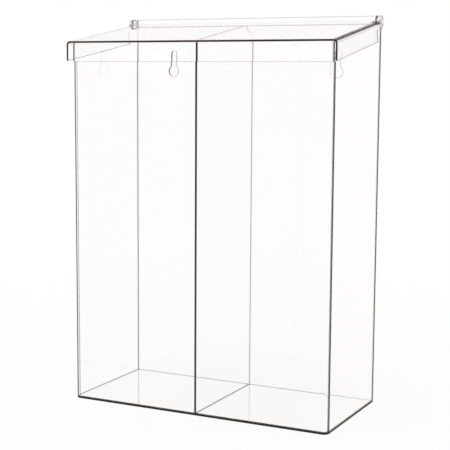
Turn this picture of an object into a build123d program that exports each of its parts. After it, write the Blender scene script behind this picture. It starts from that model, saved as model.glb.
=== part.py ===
from build123d import *
import os
from math import asin, cos, degrees, radians, sin, sqrt, tan

# A wall dispenser for boxes of disposable gloves, in clear sheet. One bent sheet makes the front and
# both sides, a back panel carries two keyholes, a divider makes two bins, and a lid with side flanges
# swings on two rivets. +Z is up, the front faces -Y, and X = 0 is the middle of the divider.

# ---- driving dimensions, mm and degrees ----
sheet = 2.4                  # thickness of the clear sheet that every panel is cut from

box_width = 304.8            # outside, over the two side walls
box_depth = 139.7            # from the front wall's face to the back panel's rear face
back_height = 427.0          # top of the back panel and of the hinge lugs
front_height = 376.5         # top edge of the front wall
corner_inner_radius = 4.0    # bend between the front wall and each side
side_setback = 2.4           # sides' flat front edges above the front wall, behind its face

lug_radius = 6.8             # round hinge lug on each side wall, about the hinge axis
hinge_setback = 8.2          # hinge axis to the back panel's rear face

lid_slope = 9.7              # fall of the closed lid towards the front
lid_overhang = 3.0           # lid's front edge beyond the front wall
lid_hinge_gap = 0.4          # between each lug and the lid's ear beside it
lid_front_gap = 2.8          # between each side wall and the lid's flange, at the front
lid_flange_drop = 21.0       # flange height below the lid's top face
lid_inner_radius = 2.2       # bend between the lid's top and each flange
lid_rest_gap = 0.3           # closed lid above the divider that it rests on
side_wall_gap = 1.1          # closed lid above the side walls, inside its bends
lid_tail = 4.6               # lid behind the hinge axis
lid_flange_end = 13.6        # flange's rear edge, ahead of the hinge axis
lid_neck_drop = 7.4          # neck that carries each ear, below the lid's top face
lid_slot_gap = 0.4           # in the lid, beside each lug and rivet cap
ear_radius = 6.8             # round ear at the rear of each flange

keyhole_spacing = 203.2      # between the two keyholes
keyhole_drop = 60.0          # centre of the round hole below the back panel's top edge
keyhole_head_radius = 6.35   # round hole that passes the screw head
keyhole_slot_width = 6.6     # slot that the screw's neck slides up
keyhole_slot_rise = 20.4     # from the round hole's centre to the slot's end centre

divider_level_start = 23.0   # divider's level top, from this far ahead of the hinge axis
divider_notch_radius = 10.8  # clearance notch about the hinge axis

rivet_radius = 2.0           # rivet's shank
rivet_clearance = 0.05       # radial, in the lid's ear
rivet_head_radius = 2.8
rivet_head_height = 1.3
rivet_play = 0.15            # rivet head off the ear
cap_height = 2.2             # push-on cap inside the side wall
cap_bore_depth = 1.4         # how far the shank enters the cap
rivet_edge_round = 0.5       # rounding on the rivet's head and cap

# ---- places worked out from them ----
half_width = box_width / 2
inner_half_width = half_width - sheet
total_depth = box_depth + lid_overhang
rear_face_y = total_depth / 2
back_inner_y = rear_face_y - sheet
front_face_y = rear_face_y - box_depth
front_inner_y = front_face_y + sheet
lid_front_y = front_face_y - lid_overhang
corner_outer_radius = corner_inner_radius + sheet
bend_rear_y = front_face_y + corner_outer_radius
side_front_y = front_face_y + side_setback

hinge_y = rear_face_y - hinge_setback
hinge_z = back_height - lug_radius
keyhole_z = back_height - keyhole_drop

slope_cos = cos(radians(lid_slope))
slope_sin = sin(radians(lid_slope))
slope_tan = tan(radians(lid_slope))
ear_inner_x = half_width + lid_hinge_gap
ear_outer_x = ear_inner_x + sheet
lid_front_half_width = half_width + lid_front_gap + sheet
lid_outer_radius = lid_inner_radius + sheet
lid_top = sheet / 2                          # lid's top face above the hinge axis, square to the lid
lid_underside = -sheet / 2
wall_line = lid_underside - side_wall_gap    # tops of the side walls, on the same scale
divider_line = lid_underside - lid_rest_gap  # top of the divider, on the same scale


def sloping_z(line, y):
    """Height at depth y of a line that runs parallel to the closed lid."""
    return hinge_z + line / slope_cos - (hinge_y - y) * slope_tan


# ---- front and sides: one sheet with two bends ----
lug_start_angle = 180 + lid_slope + degrees(asin(-wall_line / lug_radius))
with BuildPart() as front_and_sides:
    with BuildSketch(Plane.XY.offset(sheet)) as wall_plan:
        with BuildLine():
            outside = FilletPolyline(
                (-half_width, back_inner_y),
                (-half_width, front_face_y),
                (half_width, front_face_y),
                (half_width, back_inner_y),
                radius=corner_outer_radius,
            )
            inside = FilletPolyline(
                (-inner_half_width, back_inner_y),
                (-inner_half_width, front_inner_y),
                (inner_half_width, front_inner_y),
                (inner_half_width, back_inner_y),
                radius=corner_inner_radius,
            )
            Line(outside @ 0, inside @ 0)
            Line(outside @ 1, inside @ 1)
        make_face()
    extrude(amount=back_height - sheet)
    with BuildSketch(Plane.YZ) as side_outline:
        with BuildLine():
            lug_front = CenterArc((hinge_y, hinge_z), lug_radius, 90, lug_start_angle - 90)
            Polyline(
                lug_front @ 1,
                (bend_rear_y, sloping_z(wall_line, bend_rear_y)),
                (bend_rear_y, front_height),
                (front_face_y, front_height),
                (front_face_y, sheet),
                (back_inner_y, sheet),
                (back_inner_y, back_height),
                lug_front @ 0,
            )
        make_face()
    extrude(amount=half_width, both=True, mode=Mode.INTERSECT)
    for side_start in (-half_width, inner_half_width):
        with BuildSketch(Plane.YZ.offset(side_start)) as flat_front:
            with BuildLine():
                Polyline(
                    (bend_rear_y, front_height),
                    (side_front_y, front_height),
                    (side_front_y, sloping_z(wall_line, side_front_y)),
                    (bend_rear_y, sloping_z(wall_line, bend_rear_y)),
                    close=True,
                )
            make_face()
        extrude(amount=sheet)
    with BuildSketch(Plane.YZ) as lug_holes:
        with Locations((hinge_y, hinge_z)):
            Circle(rivet_radius)
    extrude(amount=half_width, both=True, mode=Mode.SUBTRACT)

# ---- bottom panel: under the walls, with the front corners rounded to match ----
with BuildPart() as bottom_panel:
    with BuildSketch(Plane.XY) as bottom_plan:
        with BuildLine():
            edge = FilletPolyline(
                (-half_width, back_inner_y),
                (-half_width, front_face_y),
                (half_width, front_face_y),
                (half_width, back_inner_y),
                radius=corner_outer_radius,
            )
            Line(edge @ 1, edge @ 0)
        make_face()
    extrude(amount=sheet)

# ---- back panel: behind the walls, with two keyholes ----
keyhole_centres = GridLocations(keyhole_spacing, 0, 2, 1).locations
with BuildPart() as back_panel:
    with BuildSketch(Plane.XZ.offset(-rear_face_y)) as back_outline:
        Rectangle(box_width, back_height, align=(Align.CENTER, Align.MIN))
        for centre in keyhole_centres:
            hole_x = centre.position.X
            with Locations((hole_x, keyhole_z)):
                Circle(keyhole_head_radius, mode=Mode.SUBTRACT)
                Rectangle(
                    keyhole_slot_width,
                    keyhole_slot_rise,
                    align=(Align.CENTER, Align.MIN),
                    mode=Mode.SUBTRACT,
                )
            with Locations((hole_x, keyhole_z + keyhole_slot_rise)):
                Circle(keyhole_slot_width / 2, mode=Mode.SUBTRACT)
    extrude(amount=sheet)

# ---- divider: halfway across, notched round the hinge line ----
level_y = hinge_y - divider_level_start
level_z = sloping_z(divider_line, level_y)
level_drop = hinge_z - level_z
notch_end_angle = 180 + degrees(asin(level_drop / divider_notch_radius))
with BuildPart() as divider:
    with BuildSketch(Plane.YZ) as divider_outline:
        with BuildLine():
            notch = CenterArc(
                (hinge_y, hinge_z), divider_notch_radius, notch_end_angle, 270 - notch_end_angle
            )
            Polyline(
                notch @ 0,
                (level_y, level_z),
                (front_inner_y, sloping_z(divider_line, front_inner_y)),
                (front_inner_y, sheet),
                (back_inner_y, sheet),
                (back_inner_y, hinge_z - divider_notch_radius),
                notch @ 1,
            )
        make_face()
    extrude(amount=sheet / 2, both=True)

# ---- lid: one sheet with two flanges, drawn looking back along its own slope ----
lid_section = Plane(
    origin=(0, hinge_y, hinge_z), x_dir=(1, 0, 0), z_dir=(0, -slope_cos, -slope_sin)
)
lid_reach = (hinge_y - lid_front_y) / slope_cos + lid_flange_drop * slope_tan
lid_spread = (lid_front_half_width - ear_outer_x) / lid_reach
flange_bottom = lid_top - lid_flange_drop
slot_outer_x = half_width + lid_slot_gap
slot_inner_x = inner_half_width - cap_height - lid_slot_gap


def lid_profile(ahead):
    """The lid's bent section, this far ahead of the hinge axis: the flanges spread to the front."""
    outer_x = ear_outer_x + lid_spread * ahead
    inner_x = outer_x - sheet
    with BuildSketch(lid_section.offset(ahead)) as profile:
        with BuildLine():
            lid_outside = FilletPolyline(
                (-outer_x, flange_bottom),
                (-outer_x, lid_top),
                (outer_x, lid_top),
                (outer_x, flange_bottom),
                radius=lid_outer_radius,
            )
            lid_inside = FilletPolyline(
                (-inner_x, flange_bottom),
                (-inner_x, lid_underside),
                (inner_x, lid_underside),
                (inner_x, flange_bottom),
                radius=lid_inner_radius,
            )
            Line(lid_outside @ 0, lid_inside @ 0)
            Line(lid_outside @ 1, lid_inside @ 1)
        make_face()
    return profile.sketch


with BuildPart() as lid:
    loft(sections=[lid_profile(-lid_tail), lid_profile(lid_reach)], ruled=True)
    # The front edge stands upright over the front wall.
    split(bisect_by=Plane(origin=(0, lid_front_y, 0), z_dir=(0, 1, 0)), keep=Keep.TOP)
    # Behind the flanges, slots clear the lugs and the rivet caps.
    with BuildSketch(lid_section.offset(-lid_tail)) as lug_slots:
        for side in (-1, 1):
            with Locations((side * (slot_inner_x + slot_outer_x) / 2, 0)):
                Rectangle(slot_outer_x - slot_inner_x, 2 * lid_flange_drop)
    extrude(amount=lid_tail + lid_flange_end, mode=Mode.SUBTRACT)
    # The flanges stop there too, and leave a neck at the top.
    with BuildSketch(lid_section.offset(-lid_tail)) as flange_trim:
        with Locations((0, lid_top - lid_neck_drop)):
            Rectangle(2 * lid_front_half_width, lid_flange_drop, align=(Align.CENTER, Align.MAX))
    extrude(amount=lid_tail + lid_flange_end, mode=Mode.SUBTRACT)
    # Outside the lugs nothing is left behind the hinge axis but the ears.
    with BuildSketch(lid_section.offset(-lid_tail)) as tail_trim:
        for side in (-1, 1):
            with Locations((side * ear_outer_x, 0)):
                Rectangle(2 * (ear_outer_x - half_width), 2 * lid_flange_drop)
    extrude(amount=lid_tail, mode=Mode.SUBTRACT)
    for side in (-1, 1):
        with BuildSketch(Plane.YZ.offset(side * (ear_inner_x + sheet / 2))) as ear:
            with Locations((hinge_y, hinge_z)):
                Circle(ear_radius)
        extrude(amount=sheet / 2, both=True)
        with BuildSketch(Plane.YZ.offset(side * lid_front_half_width)) as ear_hole:
            with Locations((hinge_y, hinge_z)):
                Circle(rivet_radius + rivet_clearance)
        extrude(amount=side * (half_width - lid_front_half_width), mode=Mode.SUBTRACT)

# ---- hinge rivets: head outside the ear, push-on cap inside the side wall ----
head_x = ear_outer_x + rivet_play
shank_length = head_x - inner_half_width + cap_bore_depth


def rivet(side):
    """One rivet, its shank along X through the ear and the lug."""
    with BuildPart() as body:
        with BuildSketch(Plane.YZ.offset(side * head_x)) as shank:
            with Locations((hinge_y, hinge_z)):
                Circle(rivet_radius)
        extrude(amount=-side * shank_length)
        with BuildSketch(Plane.YZ.offset(side * head_x)) as head:
            with Locations((hinge_y, hinge_z)):
                Circle(rivet_head_radius)
        extrude(amount=side * rivet_head_height)
        outer_rim = body.edges().filter_by(GeomType.CIRCLE).sort_by(Axis.X)
        fillet(outer_rim[-1] if side > 0 else outer_rim[0], radius=rivet_edge_round)
    return body


def rivet_cap(side):
    """One cap, pushed on the shank's end against the inside of the side wall."""
    with BuildPart() as body:
        with BuildSketch(Plane.YZ.offset(side * inner_half_width)) as disc:
            with Locations((hinge_y, hinge_z)):
                Circle(rivet_head_radius)
        extrude(amount=-side * cap_height)
        with BuildSketch(Plane.YZ.offset(side * inner_half_width)) as bore:
            with Locations((hinge_y, hinge_z)):
                Circle(rivet_radius)
        extrude(amount=-side * cap_bore_depth, mode=Mode.SUBTRACT)
        inner_rim = body.edges().filter_by(GeomType.CIRCLE).sort_by(Axis.X)
        fillet(inner_rim[0] if side > 0 else inner_rim[-1], radius=rivet_edge_round)
    return body


rivet_left = rivet(-1)
rivet_right = rivet(1)
rivet_cap_left = rivet_cap(-1)
rivet_cap_right = rivet_cap(1)

# ---- one file for each piece ----
os.makedirs("parts", exist_ok=True)

front_and_sides.part.label = "front_and_sides"
export_step(front_and_sides.part, "parts/front_and_sides.step")
bottom_panel.part.label = "bottom_panel"
export_step(bottom_panel.part, "parts/bottom_panel.step")
back_panel.part.label = "back_panel"
export_step(back_panel.part, "parts/back_panel.step")
divider.part.label = "divider"
export_step(divider.part, "parts/divider.step")
lid.part.label = "lid"
export_step(lid.part, "parts/lid.step")
rivet_left.part.label = "hinge_rivet_left"
export_step(rivet_left.part, "parts/hinge_rivet_left.step")
rivet_right.part.label = "hinge_rivet_right"
export_step(rivet_right.part, "parts/hinge_rivet_right.step")
rivet_cap_left.part.label = "rivet_cap_left"
export_step(rivet_cap_left.part, "parts/rivet_cap_left.step")
rivet_cap_right.part.label = "rivet_cap_right"
export_step(rivet_cap_right.part, "parts/rivet_cap_right.step")
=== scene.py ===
import math

import bpy
from mathutils import Matrix

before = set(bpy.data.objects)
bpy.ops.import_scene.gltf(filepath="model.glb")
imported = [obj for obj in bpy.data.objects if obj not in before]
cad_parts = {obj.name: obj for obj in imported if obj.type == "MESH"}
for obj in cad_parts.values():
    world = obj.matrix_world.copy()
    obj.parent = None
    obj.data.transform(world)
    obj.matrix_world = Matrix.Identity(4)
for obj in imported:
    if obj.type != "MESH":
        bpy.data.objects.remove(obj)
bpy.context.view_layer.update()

# ---- Camera
# A long lens stands in front of the box and to its right, a little below the level of its top.
# It looks slightly down at the box.

CAMERA_PLACE = (0.5693, -1.1426, 0.3622)
CAMERA_TURN, CAMERA_DIP = math.radians(26.44), math.radians(7.307)
CAMERA_ROLL = math.radians(0.3617)
CAMERA_LENS_MM, CAMERA_SENSOR_MM = 93.226, 36.0

camera_data = bpy.data.cameras.new("camera")
camera_data.lens = CAMERA_LENS_MM
camera_data.sensor_width = CAMERA_SENSOR_MM
camera = bpy.data.objects.new("camera", camera_data)
bpy.context.collection.objects.link(camera)
camera.matrix_world = (
    Matrix.Translation(CAMERA_PLACE)
    @ Matrix.Rotation(CAMERA_TURN, 4, "Z")
    @ Matrix.Rotation(math.radians(90) - CAMERA_DIP, 4, "X")
    @ Matrix.Rotation(CAMERA_ROLL, 4, "Z")
)
bpy.context.scene.camera = camera
bpy.context.scene.view_settings.view_transform = "Standard"


class Value:
    """A shader socket that takes part in Python sums, each sum adding its Math node."""

    def __init__(self, shader, socket):
        self.shader = shader
        self.socket = socket

    def math(self, operation, *others, clamp=False):
        return self.shader.node(
            "ShaderNodeMath", {"operation": operation, "use_clamp": clamp}, (self, *others)
        )

    def __add__(self, other):
        return self.math("ADD", other)

    def __mul__(self, other):
        return self.math("MULTIPLY", other)

    def __sub__(self, other):
        return self.math("SUBTRACT", other)

    def __rsub__(self, other):
        return self.shader.node("ShaderNodeMath", {"operation": "SUBTRACT"}, (other, self))

    def __gt__(self, other):
        return self.math("GREATER_THAN", other)

    def __lt__(self, other):
        return self.math("LESS_THAN", other)

    def __abs__(self):
        return self.math("ABSOLUTE")

    def squared(self):
        return self.math("POWER", 2.0)

    def either(self, *others):
        """The largest of several marks at each place."""
        largest = self
        for other in others:
            largest = largest.math("MAXIMUM", other)
        return largest

    def clamped(self):
        return self.math("ADD", 0.0, clamp=True)

    __radd__ = __add__
    __rmul__ = __mul__


class Shader:
    """The node tree of one finish, or of the room's light."""

    def __init__(self, owner):
        owner.use_nodes = True
        self.tree = owner.node_tree
        self.tree.nodes.clear()

    def node(self, kind, settings=None, sockets=(), output=0):
        made = self.tree.nodes.new(kind)
        for name, value in (settings or {}).items():
            setattr(made, name, value)
        named = sockets.items() if isinstance(sockets, dict) else enumerate(sockets)
        for name, value in named:
            if isinstance(value, Value):
                self.tree.links.new(value.socket, made.inputs[name])
            else:
                made.inputs[name].default_value = value
        return Value(self, made.outputs[output]) if made.outputs else None

    def split(self, vector):
        """The three parts of a vector."""
        parts = self.node("ShaderNodeSeparateXYZ", None, (vector,)).socket.node.outputs
        return [Value(self, part) for part in parts]

    def noise(self, place, scale, detail):
        return self.node(
            "ShaderNodeTexNoise", None, {"Vector": place, "Scale": scale, "Detail": detail}
        )

    def blend(self, share, first, second):
        """One colour, mixed with a share of another. They are a Mix node's sockets 6 and 7."""
        return self.node(
            "ShaderNodeMix", {"data_type": "RGBA"}, {"Factor": share, 6: first, 7: second}, 2
        )

    def seen(self):
        """1 where the eye meets the surface, also in a reflection or through a clear sheet."""
        kinds = ("Is Camera Ray", "Is Glossy Ray", "Is Transmission Ray")
        camera_ray, glossy_ray, clear_ray = (
            self.node("ShaderNodeLightPath", None, (), kind) for kind in kinds
        )
        return camera_ray.either(glossy_ray, clear_ray)

    def outside(self):
        """1 where the surface is met from outside the plastic, and 0 from within it."""
        return 1.0 - self.node("ShaderNodeNewGeometry", None, (), "Backfacing")

    def grazing(self):
        """Rises from 0 where the surface is met square on to 1 at its silhouette."""
        return self.node("ShaderNodeLayerWeight", None, {"Blend": 0.3}, "Facing")


# ---- Studio
# The object stands on a pale floor that runs out to an even white surround, as clear plastic needs
# behind it and in its reflections. One broad soft lamp, high on the left, throws the shadow.

WHITE = (1.0, 1.0, 1.0, 1.0)
ROOM_LIGHT = 0.8
FLOOR_SIZE, FLOOR_DROP = 8.0, 0.0004
FLOOR_PAINT = (0.94, 0.94, 0.94, 1.0)
FLOOR_WHITE, FLOOR_WHITE_PER_METRE = 0.91, 0.08
LAMP_SIZE, LAMP_POWER, LAMP_DISTANCE = 1.5, 7.5, 1.8
LAMP_TURN, LAMP_TILT = math.radians(-35), math.radians(30)

room = bpy.data.worlds.new("white room")
bpy.context.scene.world = room
room_shader = Shader(room)
room_strength = room_shader.seen() * (1.0 - ROOM_LIGHT) + ROOM_LIGHT
surround = room_shader.node(
    "ShaderNodeBackground", None, {"Color": WHITE, "Strength": room_strength}
)
room_shader.node("ShaderNodeOutputWorld", None, {"Surface": surround})

bpy.ops.mesh.primitive_plane_add(size=FLOOR_SIZE, location=(0, 0, -FLOOR_DROP))
floor = bpy.context.object
floor.name = "floor"
floor_finish = bpy.data.materials.new("pale floor")
floor_shader = Shader(floor_finish)
lit_floor = floor_shader.node("ShaderNodeBsdfDiffuse", None, {"Color": FLOOR_PAINT})
white_floor = floor_shader.node("ShaderNodeEmission", None, {"Color": WHITE, "Strength": 1.0})
floor_place = floor_shader.node("ShaderNodeTexCoord", None, (), "Object")
run_out = floor_shader.node(
    "ShaderNodeVectorMath", {"operation": "LENGTH"}, (floor_place,), "Value"
)
whiter = (run_out * FLOOR_WHITE_PER_METRE + FLOOR_WHITE).clamped()
floor_surface = floor_shader.node(
    "ShaderNodeMixShader", None, (floor_shader.seen() * whiter, lit_floor, white_floor)
)
floor_shader.node("ShaderNodeOutputMaterial", None, {"Surface": floor_surface})
floor.data.materials.append(floor_finish)

lamp_data = bpy.data.lights.new("soft lamp", "AREA")
lamp_data.shape = "SQUARE"
lamp_data.size = LAMP_SIZE
lamp_data.energy = LAMP_POWER
lamp = bpy.data.objects.new("soft lamp", lamp_data)
bpy.context.collection.objects.link(lamp)
lamp.matrix_world = (
    Matrix.Rotation(LAMP_TURN, 4, "Z")
    @ Matrix.Rotation(LAMP_TILT, 4, "X")
    @ Matrix.Translation((0, 0, LAMP_DISTANCE))
)

# ---- Clear sheet
# Every panel is cut from 2.4 mm clear plastic with glossy faces and a faint warm cast.
# The core of each sawn edge is painted nearly black, as painted shade for the light that runs
# along inside the sheet. It lies between frosted arrises. Lines of painted shade, plum or grey,
# run along the rims and tight bends.

BLACK = (0.0, 0.0, 0.0, 1.0)
CLEAR = ((0.996, 0.993, 0.987, 1.0), (0.990, 0.986, 0.979, 1.0))
ROSY = ((0.980, 0.968, 0.960, 1.0), (0.972, 0.959, 0.951, 1.0))
PLUM, GREY = (0.30, 0.10, 0.19, 1.0), (0.20, 0.17, 0.18, 1.0)
SHEET_IOR = 1.57
NO_FROST = 0.0


def sheet_finish(name, tints, cast, marks):
    """Clear sheet in two close tints. marks() takes a place (x, y, z) and the direction (i, j, k)
    that the surface faces there, and gives the painted shade of the edge cores (with the darkened
    welds), the frosted arrises, and the painted shade lines along rims, bends and welds."""
    finish = bpy.data.materials.new(name)
    shader = Shader(finish)
    place = shader.node("ShaderNodeTexCoord", None, (), "Object")
    facing = shader.node("ShaderNodeTexCoord", None, (), "Normal")
    core, frost, line = marks(*shader.split(place), *shader.split(facing))

    tint = shader.blend(shader.noise(place, 7.0, 2.0), *tints)
    handled = (shader.noise(place, 16.0, 3.0) * 3.0 - 1.6).clamped()
    specks = (shader.noise(place, 260.0, 6.0) * 4.0 - 2.1).clamped()
    scuffs = handled * specks
    waves = shader.noise(place, 9.0, 1.0)
    rolled = shader.node(
        "ShaderNodeBump", None, {"Strength": 0.003, "Distance": 0.002, "Height": waves}
    )
    clear = shader.node(
        "ShaderNodeBsdfPrincipled",
        None,
        {
            "Base Color": tint,
            "Roughness": scuffs * 0.04,
            "Transmission Weight": 1.0,
            "IOR": SHEET_IOR,
            "Normal": rolled,
        },
    )

    saw_marks = shader.noise(place, 700.0, 4.0)
    # Painted shade: the near-black colour of the edge cores, flecked towards the sheet's tint by
    # the saw marks. The welds take it too.
    shade_and_weld_colour = shader.blend(saw_marks * 0.22, BLACK, cast)
    # White on the frosted arrises, and elsewhere the tint of the painted shade lines.
    frost_and_painted_line_colour = shader.blend(frost * 0.85, cast, WHITE)
    edge_colour = shader.blend(core > 0.01, frost_and_painted_line_colour, shade_and_weld_colour)
    sawn = shader.node(
        "ShaderNodeBump", None, {"Strength": 0.3, "Distance": 0.0002, "Height": saw_marks}
    )
    edge = shader.node(
        "ShaderNodeBsdfPrincipled",
        None,
        {
            "Base Color": edge_colour,
            "Roughness": saw_marks * 0.3 + 0.3,
            "Specular IOR Level": 0.12,
            "Normal": sawn,
        },
    )
    cover = core.either(frost, line)
    surface = shader.node("ShaderNodeMixShader", None, (cover, clear, edge))
    shader.node("ShaderNodeOutputMaterial", None, {"Surface": surface})
    return finish


def dress(node, finish):
    for material_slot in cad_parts[node].material_slots:
        material_slot.material = finish


# ---- Hinge line
# The lid swings on two rivets at the rear of the top, through round lugs and ears.
# The panels' upper edges follow the closed lid's slope.

HINGE_Y, HINGE_Z = 0.06315, 0.4202
LID_SLOPE = math.radians(9.7)
RIVET_HOLE, LUG = 0.0030, 0.0080  # radii that reach just past each of them


def above_hinge(y, z):
    """Height of a place above the hinge axis, square to the closed lid."""
    return (z - HINGE_Z) * math.cos(LID_SLOPE) + (HINGE_Y - y) * math.sin(LID_SLOPE)


def ahead_of_hinge(y, z):
    """Distance of a place ahead of the hinge axis, along the closed lid."""
    return (HINGE_Y - y) * math.cos(LID_SLOPE) - (z - HINGE_Z) * math.sin(LID_SLOPE)


def from_hinge(y, z):
    """Distance of a place from the hinge axis, all round."""
    return ((y - HINGE_Y).squared() + (z - HINGE_Z).squared()).math("SQRT")


# ---- Front and sides
# One sheet is bent round two upright corners to make the front and both sides, and the sides end
# in round hinge lugs. It is solvent welded to the bottom and back panels, which dulls those edges.

FRONT_TOP, FRONT_INSIDE = 0.3765, -0.0659
SIDE_INSIDE, SIDE_RIM_INSIDE = 0.1490, 0.1500  # anything further out is on a side
SIDE_CORE, SIDE_CORE_HALF = 0.1517, 0.0006
WELD_BOTTOM, WELD_REAR, REAR_RIM = 0.0030, 0.0689, 0.0680
SIDE_RIM_DROP, LUG_RIM = -0.0027, 0.0063
BEND_START, BEND_REAR = 0.1460, -0.0620
BEND_LINE_START, BEND_LINE_END = 0.00535, 0.0059  # on from the start of each bend


def front_and_sides_marks(x, y, z, i, j, k):
    from_axis = from_hinge(y, z)
    lug = from_axis < LUG
    upright = abs(k) > 0.5
    over_front = (z > FRONT_TOP + 0.00001) * (abs(x) > SIDE_INSIDE) * (from_axis > RIVET_HOLE)
    cut = (abs(i) < 0.5) * over_front
    side_core = abs(abs(x) - SIDE_CORE) < SIDE_CORE_HALF
    welded = (upright * (z < WELD_BOTTOM)).either(y > WELD_REAR)

    # Painted shade: a dark strip along each front bend, seen from outside, and a dark line along
    # the left bend where it turns edge-on.
    along = abs(x) - BEND_START
    bent = (along > 0.0) * (y < BEND_REAR) * (z < FRONT_TOP)
    strip = (along > BEND_LINE_START) * (along < BEND_LINE_END) * bent
    left_silhouette = bent * (x < 0.0) * (x.shader.grazing() > 0.28)
    painted_bend_shade = (strip * 0.7).either(left_silhouette * 0.9) * x.shader.outside()

    # Painted shade: grey lines along the front's top, the side rims and the rear edge.
    front_top = upright * (z > FRONT_TOP - 0.0005) * (z < FRONT_TOP + 0.0001)
    front_rim = (z > FRONT_TOP - 0.0004) * (y < FRONT_INSIDE)
    side_top = (above_hinge(y, z) > SIDE_RIM_DROP) * (from_axis > LUG_RIM)
    side_rim = side_top * (abs(x) > SIDE_RIM_INSIDE)
    rear_rim = y > REAR_RIM
    # The dark cores of the cut edges over the front are painted shade. The welds are darkened as
    # joints.
    core = (cut * side_core * (0.95 - lug.either(upright) * 0.8)).either(welded * 0.8, painted_bend_shade)
    line = (front_top * 0.4).either(side_rim * 0.15, front_rim * 0.4, rear_rim * 0.5)
    return core, cut * (0.9 - lug * 0.6), line


dress("front_and_sides", sheet_finish("front and side sheet", CLEAR, GREY, front_and_sides_marks))

# ---- Bottom panel
# A flat panel under the walls, with its front corners rounded to match the bends.
# The welded walls print their lines on its top face.

BOTTOM_TOP, BOTTOM_MIDDLE, BOTTOM_CORE_HALF = 0.0023, 0.0012, 0.0010
SIDES_FOOT, FRONT_FOOT, DIVIDER_FOOT = 0.1500, -0.0659, 0.0012
WALL_LINE, DIVIDER_LINE = 0.0008, 0.0006  # how far the line beside each weld reaches


def bottom_panel_marks(x, y, z, i, j, k):
    cut = abs(k) < 0.5
    top = (z > BOTTOM_TOP) * (abs(k) > 0.5)
    under_walls = (abs(x) > SIDES_FOOT).either(y < FRONT_FOOT, abs(x) < DIVIDER_FOOT)
    beside_walls = (abs(x) > SIDES_FOOT - WALL_LINE).either(
        y < FRONT_FOOT + WALL_LINE, abs(x) < DIVIDER_FOOT + DIVIDER_LINE
    )
    # Painted shade: the middle of each sawn edge is painted nearly black. The welds beneath the
    # walls are dark joints.
    cut_core = cut * (abs(z - BOTTOM_MIDDLE) < BOTTOM_CORE_HALF)
    return cut_core.either(top * under_walls * 0.9) * 0.98, cut * 0.5, top * beside_walls * 0.7


dress("bottom_panel", sheet_finish("bottom sheet", CLEAR, GREY, bottom_panel_marks))

# ---- Back panel
# A flat panel behind the walls, with two keyholes routed through it for the wall screws.
# Each keyhole is a round hole with a slot above it, and a thin line of painted shade runs round
# its edge.

KEYHOLE_X = 0.1016
KEYHOLE_HEAD_Z, KEYHOLE_SLOT_Z = 0.3670, 0.3874
KEYHOLE_HEAD_RADIUS, KEYHOLE_SLOT_RADIUS = 0.00635, 0.0033
KEYHOLE_RIM = 0.0004
BACK_JOINT, BACK_TOP_RIM = 0.1520, 0.4265


def back_panel_marks(x, y, z, i, j, k):
    edge = abs(j) < 0.5
    joint = (abs(i) > 0.5) * (abs(x) > BACK_JOINT)
    aside = abs(abs(x) - KEYHOLE_X).squared()
    past_slot = z - z.either(KEYHOLE_HEAD_Z).math("MINIMUM", KEYHOLE_SLOT_Z)
    from_slot = (aside + past_slot.squared()).math("SQRT") - KEYHOLE_SLOT_RADIUS
    from_head = (aside + (z - KEYHOLE_HEAD_Z).squared()).math("SQRT") - KEYHOLE_HEAD_RADIUS
    keyhole = from_slot.math("MINIMUM", from_head) < KEYHOLE_RIM
    top_rim = z > BACK_TOP_RIM
    # Painted shade: the sawn edges are painted dark, less at the joints and keyholes, with grey
    # lines along the top rim.
    core = edge * (0.8 - joint * 0.45 - keyhole * 0.35)
    return core, NO_FROST, (top_rim * 0.3).either(keyhole * 0.35)


dress("back_panel", sheet_finish("back sheet", CLEAR, GREY, back_panel_marks))

# ---- Divider
# A flat panel halfway across, welded along its front, back and bottom edges.
# Its top slopes with the lid, and a notch clears the hinge line.

DIVIDER_CORE_HALF = 0.0009
DIVIDER_TOP_DROP, DIVIDER_FRONT_DROP, DIVIDER_FRONT = -0.0025, -0.0032, -0.0600
NOTCH = 0.0119  # radius that reaches just past the notch


def divider_marks(x, y, z, i, j, k):
    above = above_hinge(y, z)
    edge = abs(i) < 0.5
    middle = abs(x) < DIVIDER_CORE_HALF
    top = (above > DIVIDER_TOP_DROP).either(from_hinge(y, z) < NOTCH)
    front_end = (y < DIVIDER_FRONT) * (above > DIVIDER_FRONT_DROP)
    kept = 1.0 - front_end
    # Painted shade: the middle of each sawn edge and a band along the top and round the notch are
    # painted dark plum, with plum lines along the edges. The front end is left clear.
    return (edge * middle * 0.9).either(top * 0.9) * kept, NO_FROST, edge * kept * 0.4


dress("divider", sheet_finish("divider sheet", CLEAR, PLUM, divider_marks))

# ---- Lid
# One sheet with a flange bent down at each side, and a round ear at the rear of each flange.
# The flanges spread a little towards the front, where they clear the sides by more.

FLANGE_SPREAD = 0.01714  # metres out for each metre ahead of the hinge
LID_BEND_X, LID_BEND_DROP = 0.1506, 0.0034  # centre line of the bends, at the hinge
LID_CORE_RADIUS, LID_CORE_HALF = 0.0034, 0.0009
BEND_STRIP_OUT, BEND_STRIP_UP, BEND_STRIP_RADIUS = 0.0018, 0.0025, 0.0040
FLANGE_TOP, FLANGE_BOTTOM, LID_UNDERSIDE = -0.0066, -0.0194, -0.0045
FLANGE_END_REAR, FLANGE_END_FRONT = 0.0130, 0.0145  # ahead of the hinge
EAR_REACH, EAR_RIM, EAR_FACE = 0.0068, 0.0061, 0.1551
SLOT_INSIDE, LID_TAIL, LID_FRONT = 0.1480, -0.0040, -0.0710


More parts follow.
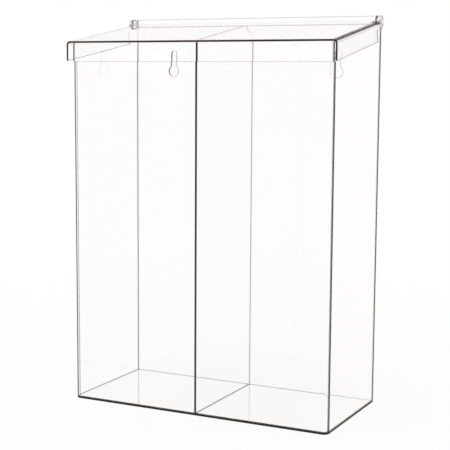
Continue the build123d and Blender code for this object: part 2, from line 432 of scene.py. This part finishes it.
def lid_marks(x, y, z, i, j, k):
    above = above_hinge(y, z)
    ahead = ahead_of_hinge(y, z)
    from_axis = from_hinge(y, z)
    out = (abs(x) - ahead * FLANGE_SPREAD - LID_BEND_X).either(0.0)
    up = (above + LID_BEND_DROP).either(0.0)
    from_bend = (out.squared() + up.squared()).math("SQRT")
    sheet_core = abs(from_bend - LID_CORE_RADIUS) < LID_CORE_HALF

    across = abs(j * math.cos(LID_SLOPE) + k * math.sin(LID_SLOPE)) > 0.5
    hanging = (above < LID_UNDERSIDE) * (abs(i) < 0.5)
    slot_side = (abs(x) < SLOT_INSIDE) * (abs(i) > 0.5)
    hidden = (from_axis < LUG).either(ahead < LID_TAIL, slot_side)
    cut = across.either(hanging, slot_side) * (from_axis > RIVET_HOLE)

    bent = (out > 0.0) * (up > 0.0) * (ahead > EAR_REACH)
    strip = (out > BEND_STRIP_OUT) * (up > BEND_STRIP_UP) * (from_bend > BEND_STRIP_RADIUS)
    outside, grazing = x.shader.outside(), x.shader.grazing()
    flange_end = (ahead > FLANGE_END_REAR) * (ahead < FLANGE_END_FRONT) * (above < FLANGE_TOP)
    lower_rim = (above < FLANGE_BOTTOM).either(flange_end)
    ear_rim = (from_axis > EAR_RIM) * (ahead < EAR_REACH) * (abs(x) > EAR_FACE)
    front_rim = y < LID_FRONT
    # Painted shade: dark cores in the sawn edges, fainter where they are hidden, and a dark strip
    # on the outside of each bend.
    core = (cut * sheet_core * (0.97 - hidden * 0.87)).either(strip * bent * outside * 0.9)
    # Painted shade: plum lines along the flanges' lower rims, the ears and the front edge, and at
    # the bends where they turn edge-on.
    line = (lower_rim * 0.55).either(
        ear_rim * 0.8, front_rim * 0.4, bent * grazing * grazing * outside * 0.9
    )
    return core, cut * (0.9 - hidden * 0.88), line


dress("lid", sheet_finish("lid sheet", ROSY, PLUM, lid_marks))

# ---- Rivets and caps
# The two hinge rivets and their push-on caps are moulded in natural white nylon.
# The melt leaves a faint mottle in its colour and gloss.

NYLON_IOR = 1.53
NYLON_DULL, NYLON_BRIGHT = (0.90, 0.89, 0.87, 1.0), (0.96, 0.955, 0.945, 1.0)

nylon = bpy.data.materials.new("natural nylon")
nylon_shader = Shader(nylon)
nylon_place = nylon_shader.node("ShaderNodeTexCoord", None, (), "Object")
flow = nylon_shader.noise(nylon_place, 350.0, 3.0)
moulded = nylon_shader.node(
    "ShaderNodeBump", None, {"Strength": 0.1, "Distance": 0.0001, "Height": flow}
)
nylon_surface = nylon_shader.node(
    "ShaderNodeBsdfPrincipled",
    None,
    {
        "Base Color": nylon_shader.blend(flow, NYLON_DULL, NYLON_BRIGHT),
        "Roughness": flow * 0.2 + 0.2,
        "IOR": NYLON_IOR,
        "Normal": moulded,
    },
)
nylon_shader.node("ShaderNodeOutputMaterial", None, {"Surface": nylon_surface})
for side in ("left", "right"):
    dress("hinge_rivet_" + side, nylon)
    dress("rivet_cap_" + side, nylon)
